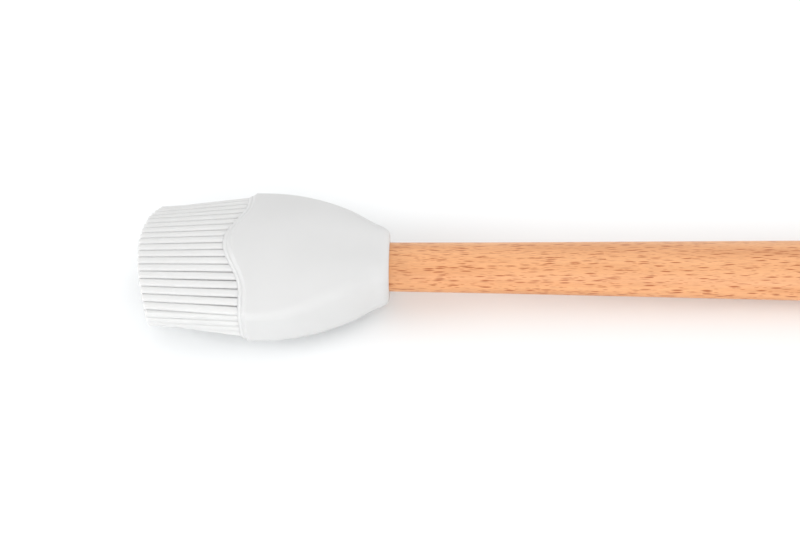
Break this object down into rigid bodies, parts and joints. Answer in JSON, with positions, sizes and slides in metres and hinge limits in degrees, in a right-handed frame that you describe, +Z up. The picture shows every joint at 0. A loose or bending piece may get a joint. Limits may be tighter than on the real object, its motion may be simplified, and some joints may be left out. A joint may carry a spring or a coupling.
{
  "type": "pastry brush",
  "caption": "Basting and pastry brush: an oval beech handle in a pull-off silicone head, with a crowned collar, a wavy lip and a dense pack of round bristles.",
  "frame": {"origin": "under the middle of the whole brush, at the height of the head's lowest line", "axes": "+X along the brush towards the handle's hanging end, +Y across the width of the bristles, +Z up out of the broad face of the head"},
  "size_m": [0.2678, 0.0442, 0.0233],
  "materials": {
    "beech": "oiled satin beech with short dark ray flecks along the grain",
    "collar_silicone": "smooth matte white silicone",
    "core_plastic": "matte moulded nylon",
    "bristle_silicone": "soft matte white silicone"
  },
  "bodies": {
    "handle": {"handle": "beech"},
    "head": {"collar": "collar_silicone", "socket_core": "core_plastic", "outer_bristle_crown": "bristle_silicone", "second_bristle_crown": "bristle_silicone", "third_bristle_crown": "bristle_silicone", "centre_bristle_block": "bristle_silicone"}
  },
  "joints": [
    {"name": "head_slide", "type": "slide", "parent": "handle", "child": "head", "axis": [-1, 0, 0], "range_m": [0, 0.04]}
  ]
}
